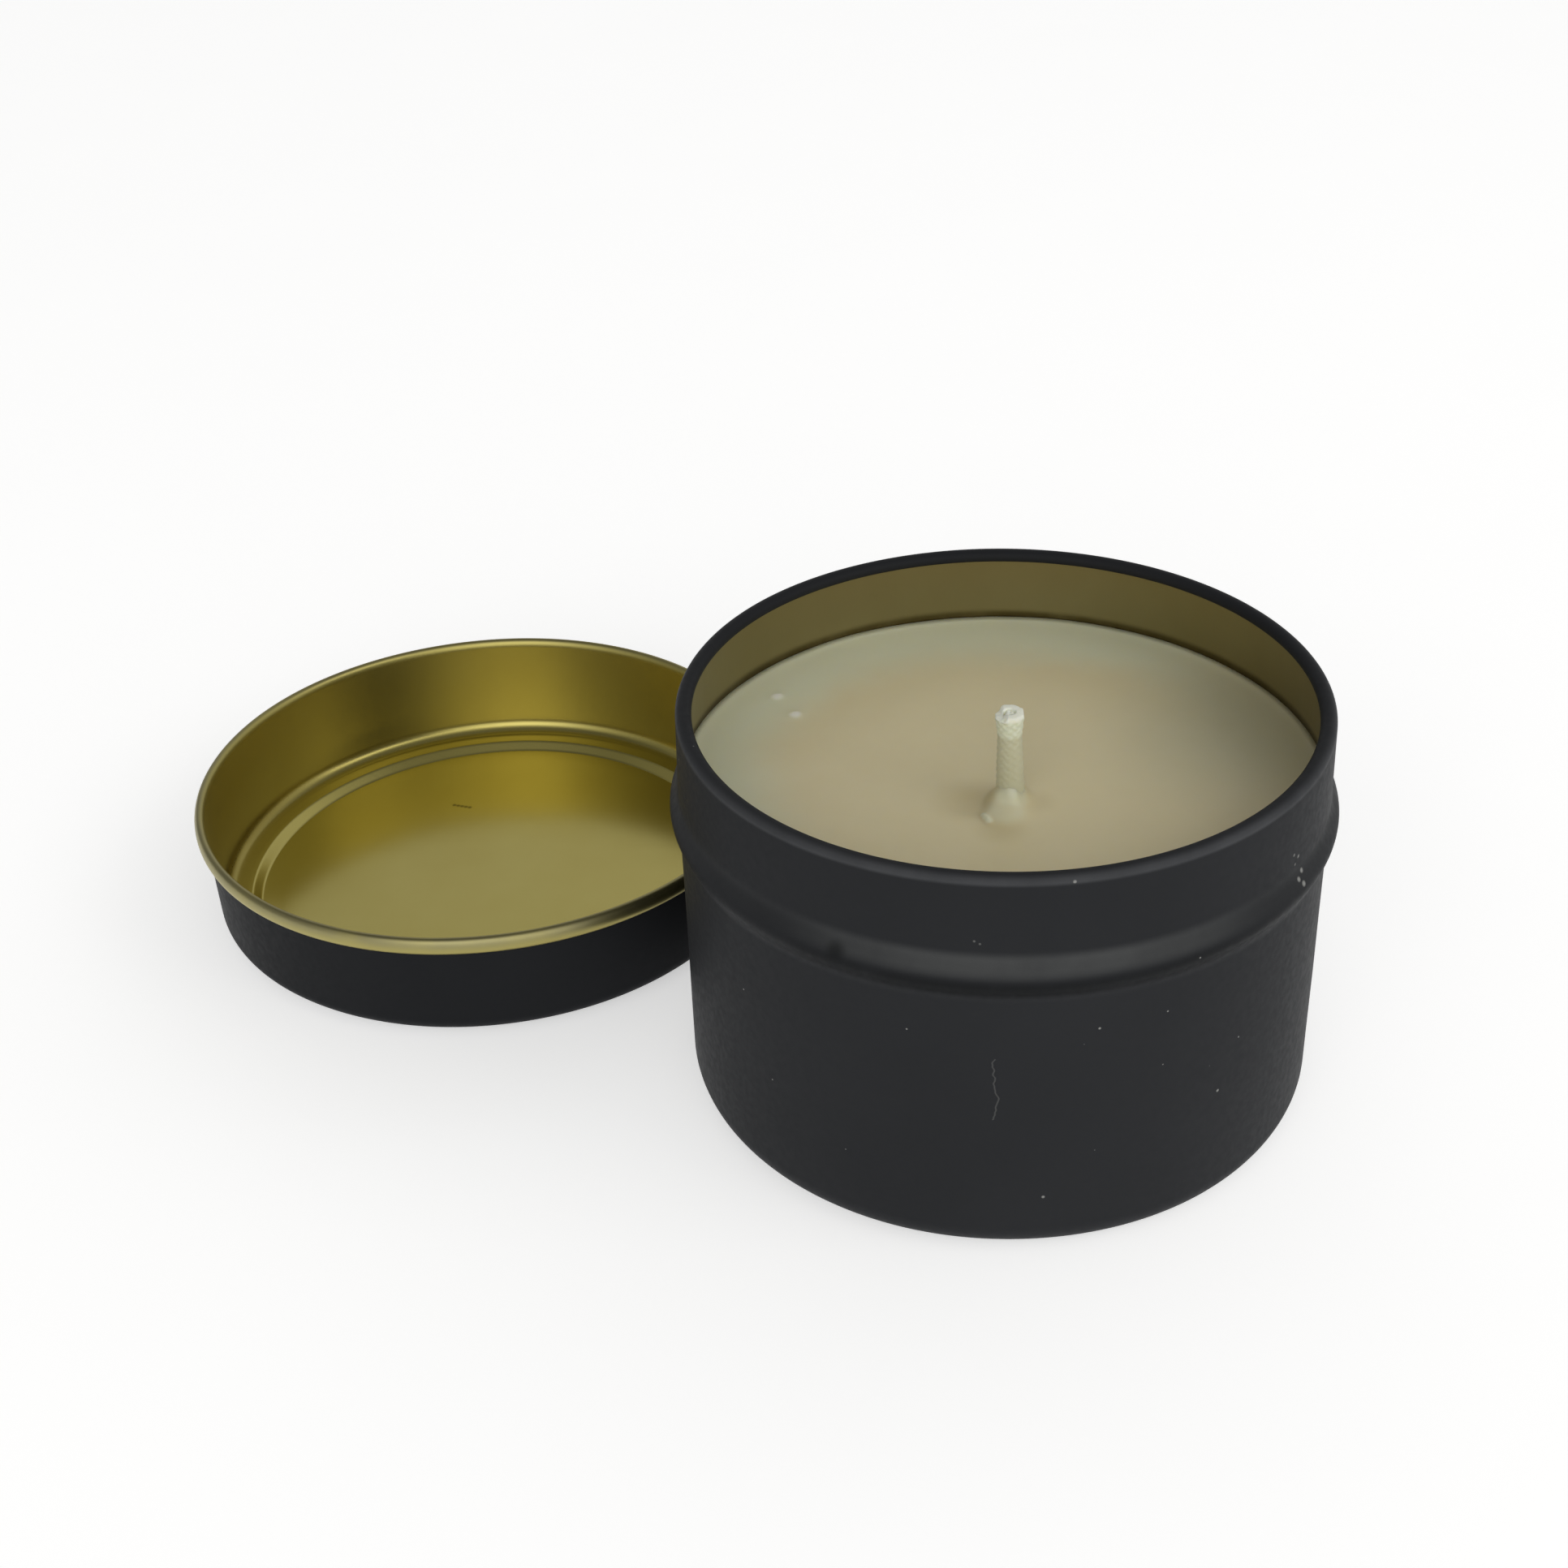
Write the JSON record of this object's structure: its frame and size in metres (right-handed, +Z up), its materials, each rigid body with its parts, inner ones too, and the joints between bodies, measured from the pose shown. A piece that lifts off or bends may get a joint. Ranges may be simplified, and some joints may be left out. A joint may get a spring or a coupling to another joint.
{
  "type": "candle tin",
  "caption": "Round drawn tin of poured wax with a braided wick standing in it, and its slip lid lying upside down beside it.",
  "frame": {"origin": "centre of the tin's base, on the surface that the tin and the lid stand on", "axes": "+Z up along the tin's axis; the lid lies towards -X and +Y, upside down on the same surface"},
  "size_m": [0.1485, 0.115, 0.052],
  "materials": {
    "black_lacquered_tinplate": "satin",
    "gold_lacquered_tinplate": "satin",
    "wax": "satin",
    "foam_adhesive": "matte",
    "plain_tinplate": "bright",
    "wick_yarn": "matte",
    "waxed_cotton": "waxed"
  },
  "bodies": {
    "tin": {"tin_body": "black_lacquered_tinplate", "wax_fill": "wax", "wick_sticker": "foam_adhesive", "wick_tab": "plain_tinplate", "wick_core": "wick_yarn", "wick_braid": "waxed_cotton"},
    "lid": {"lid": "gold_lacquered_tinplate"}
  },
  "joints": [
    {"name": "lid_lift", "type": "slide", "parent": "tin", "child": "lid", "axis": [0, 0, 1], "range_m": [0, 0.06]}
  ]
}
